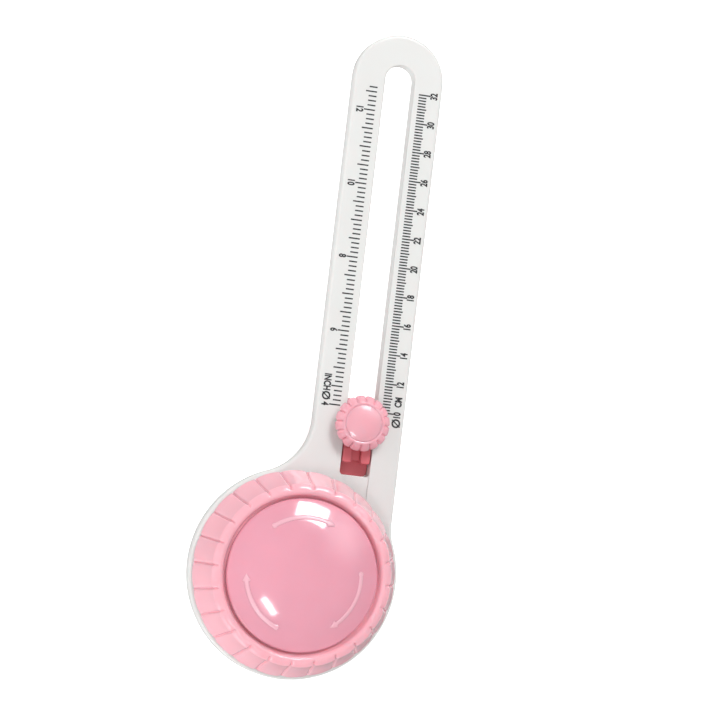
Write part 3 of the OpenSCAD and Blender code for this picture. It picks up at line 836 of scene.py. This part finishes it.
def make_labels():
    """The numbers beside both scales; they read outward on the right and inward on the left."""
    up, down = math.pi / 2, -math.pi / 2
    # the words at the start of each scale, with their distance along the travel
    labels = [
        ("10", TEXT_SIZE, up, CM_TEXT_X, 49.6 * MM),
        (DIAMETER_SIGN, TEXT_SIZE * 1.25, up, CM_TEXT_X, 46.9 * MM),
        ("CM", TEXT_SIZE, up, CM_TEXT_X, 54.2 * MM),
        (DIAMETER_SIGN, TEXT_SIZE * 1.2, down, INCH_TEXT_X, 53.6 * MM),
        ("INCH", TEXT_SIZE, down, INCH_TEXT_X, 58.2 * MM),
    ]
    for cm in range(MIN_CM + 2, MAX_CM + 1, 2):
        labels.append((str(cm), TEXT_SIZE, up, CM_TEXT_X, cm * CM_RADIUS))
    for inch in range(MIN_INCH, MAX_INCH + 1, 2):
        labels.append((str(inch), TEXT_SIZE, down, INCH_TEXT_X, inch * INCH_RADIUS))
    bm = bmesh.new()
    for words, size, turn, x, y in labels:
        mesh = label_mesh(words, size, turn, (x, y + INDEX_AHEAD))
        bm.from_mesh(mesh)
        bpy.data.meshes.remove(mesh)
    finish_piece(bm, "scale_numbers", "scale_ink", "arm")


# ---------------------------------------------------------------- carried-over CAD pieces

def dress_cad_nodes():
    """Gives every CAD node that stays its own procedural material."""
    slots = {part["node"]: part["material_slot"] for part in frame["record"]["subparts"]}
    for node, obj in frame["nodes"].items():
        obj.data.materials.clear()
        obj.data.materials.append(MATERIALS[slots[node]])


# ---------------------------------------------------------------- floor and light

FLOOR_SIZE = 6
FLOOR_GAP = 0.02 * MM
FLOOR_GLOW = 0.95
TENT_UP = (-0.30, -0.25, 0.92)                   # the side of the tent that is brightest
TENT_SHADES = [(0.0, 0.24), (1.0, 0.56)]
HUB_TOP = Vector((0, 0, dome_hi.z))
BOX_DIST = 2.0
KEY_WAY = Vector((0.222, 0.688, 0.690)).normalized()
FILL_WAY = Vector((-0.186, -0.427, 0.887)).normalized()
CARD_WAY = Vector((0.62, 0.50, 0.70))

# name, place, (width, height) in metres, power in watts, roll
LIGHTS = [
    ("key_box", HUB_TOP + KEY_WAY * BOX_DIST, (0.75, 0.50), 21, 0.0),
    ("fill_box", HUB_TOP + FILL_WAY * BOX_DIST, (0.50, 0.15), 4.5, -0.4),
    ("left_wall", Vector((-1.8, 0.2, 1.0)), (1.6, 1.2), 4.5, 0.0),
    ("front_wall", Vector((-1.1, -1.65, 0.7)), (1.4, 0.8), 18, 0.0),
    ("back_card", Vector((0.2, 2.0, 0.5)), (2.0, 0.8), 3, 0.0),
]


def add_area_light(name, at, size, power, roll):
    """A soft box that faces the top of the hub."""
    data = bpy.data.lights.new(name, "AREA")
    data.shape = "RECTANGLE"
    data.size, data.size_y = size
    data.energy = power
    light = bpy.data.objects.new(name, data)
    bpy.context.scene.collection.objects.link(light)
    light.location = at
    light.rotation_mode = "QUATERNION"
    light.rotation_quaternion = (at - HUB_TOP).to_track_quat("Z", "Y") @ Quaternion((0, 0, 1), roll)
    return data


def feather(light):
    """Fades a light's face from its middle to its edge, so that a gloss mirrors it without a border."""
    light.use_nodes = True
    tree = light.node_tree
    face = tree.nodes.new("ShaderNodeNewGeometry")
    away = tree.nodes.new("ShaderNodeVectorMath")
    away.operation = "DISTANCE"
    away.inputs[1].default_value = (0.5, 0.5, 0)
    tree.links.new(face.outputs["Parametric"], away.inputs[0])
    fade = tree.nodes.new("ShaderNodeMapRange")
    fade.interpolation_type = "SMOOTHSTEP"
    fade.inputs["From Max"].default_value = 0.5
    fade.inputs["To Min"].default_value = 1.0
    fade.inputs["To Max"].default_value = 0.0
    tree.links.new(away.outputs["Value"], fade.inputs["Value"])
    tree.links.new(fade.outputs["Result"], tree.nodes["Emission"].inputs["Strength"])


def add_surround():
    """A white tent that is brighter overhead and on the left than low down on the right."""
    world = bpy.data.worlds.new("studio")
    world.use_nodes = True
    tree = world.node_tree
    coords = tree.nodes.new("ShaderNodeTexCoord")
    way = tree.nodes.new("ShaderNodeVectorMath")
    way.operation = "DOT_PRODUCT"
    way.inputs[1].default_value = TENT_UP
    tree.links.new(coords.outputs["Generated"], way.inputs[0])
    shade = ramp(tree, way.outputs["Value"], TENT_SHADES)
    background = tree.nodes["Background"]
    tree.links.new(shade.outputs["Color"], background.inputs["Color"])
    background.inputs["Strength"].default_value = 1.0
    bpy.context.scene.world = world


def clear_from_below(tree, shader):
    """Shows a surface from its upper side only, so that the underside of the object can be looked at."""
    side = tree.nodes.new("ShaderNodeNewGeometry")
    clear = tree.nodes.new("ShaderNodeBsdfTransparent")
    mix = tree.nodes.new("ShaderNodeMixShader")
    tree.links.new(side.outputs["Backfacing"], mix.inputs["Fac"])
    tree.links.new(shader.outputs["BSDF"], mix.inputs[1])
    tree.links.new(clear.outputs["BSDF"], mix.inputs[2])
    tree.links.new(mix.outputs["Shader"], tree.nodes["Material Output"].inputs["Surface"])


def add_floor():
    """A plain pale floor that glows a little."""
    bpy.ops.mesh.primitive_plane_add(size=FLOOR_SIZE, location=(0, 0, -FLOOR_GAP))
    floor = bpy.context.object
    floor.name = "floor"
    mat, tree, shader, coords = new_material("floor_paper")
    fibre = noise(tree, coords, 300, 3)
    tint = ramp(tree, fibre.outputs["Fac"], [(0.3, 0.50), (0.7, 0.52)])
    tree.links.new(tint.outputs["Color"], shader.inputs["Base Color"])
    shader.inputs["Roughness"].default_value = 0.9
    shader.inputs["Specular IOR Level"].default_value = 0.1
    shader.inputs["Emission Color"].default_value = (1.0, 1.0, 1.0, 1)
    shader.inputs["Emission Strength"].default_value = FLOOR_GLOW
    clear_from_below(tree, shader)
    floor.data.materials.append(mat)
    floor.visible_glossy = False


def add_studio():
    """The floor, the white tent round it, the soft boxes and a card without a visible border."""
    add_floor()
    add_surround()
    for light in LIGHTS:
        add_area_light(*light)
    feather(add_area_light("right_card", HUB_TOP + CARD_WAY * BOX_DIST, (1.9, 1.7), 21, 0.0))


def set_colour_management():
    """Colours go out as they are lit, without a film look."""
    view = bpy.context.scene.view_settings
    view.view_transform = "Standard"
    view.look = "None"
    view.exposure = 0.0
    view.gamma = 1.0


add_camera()
set_colour_management()
dress_cad_nodes()
make_arm()
make_grip_ring()
make_dome()
for arrow in range(ARROWS):
    make_arrow(arrow + 1, math.radians(90) + KNOB_TURN + arrow * 2 * math.pi / ARROWS)
make_clamp_knob()
make_clamp_cap()
make_carriage()
make_cm_scale()
make_inch_scale()
make_labels()
add_studio()
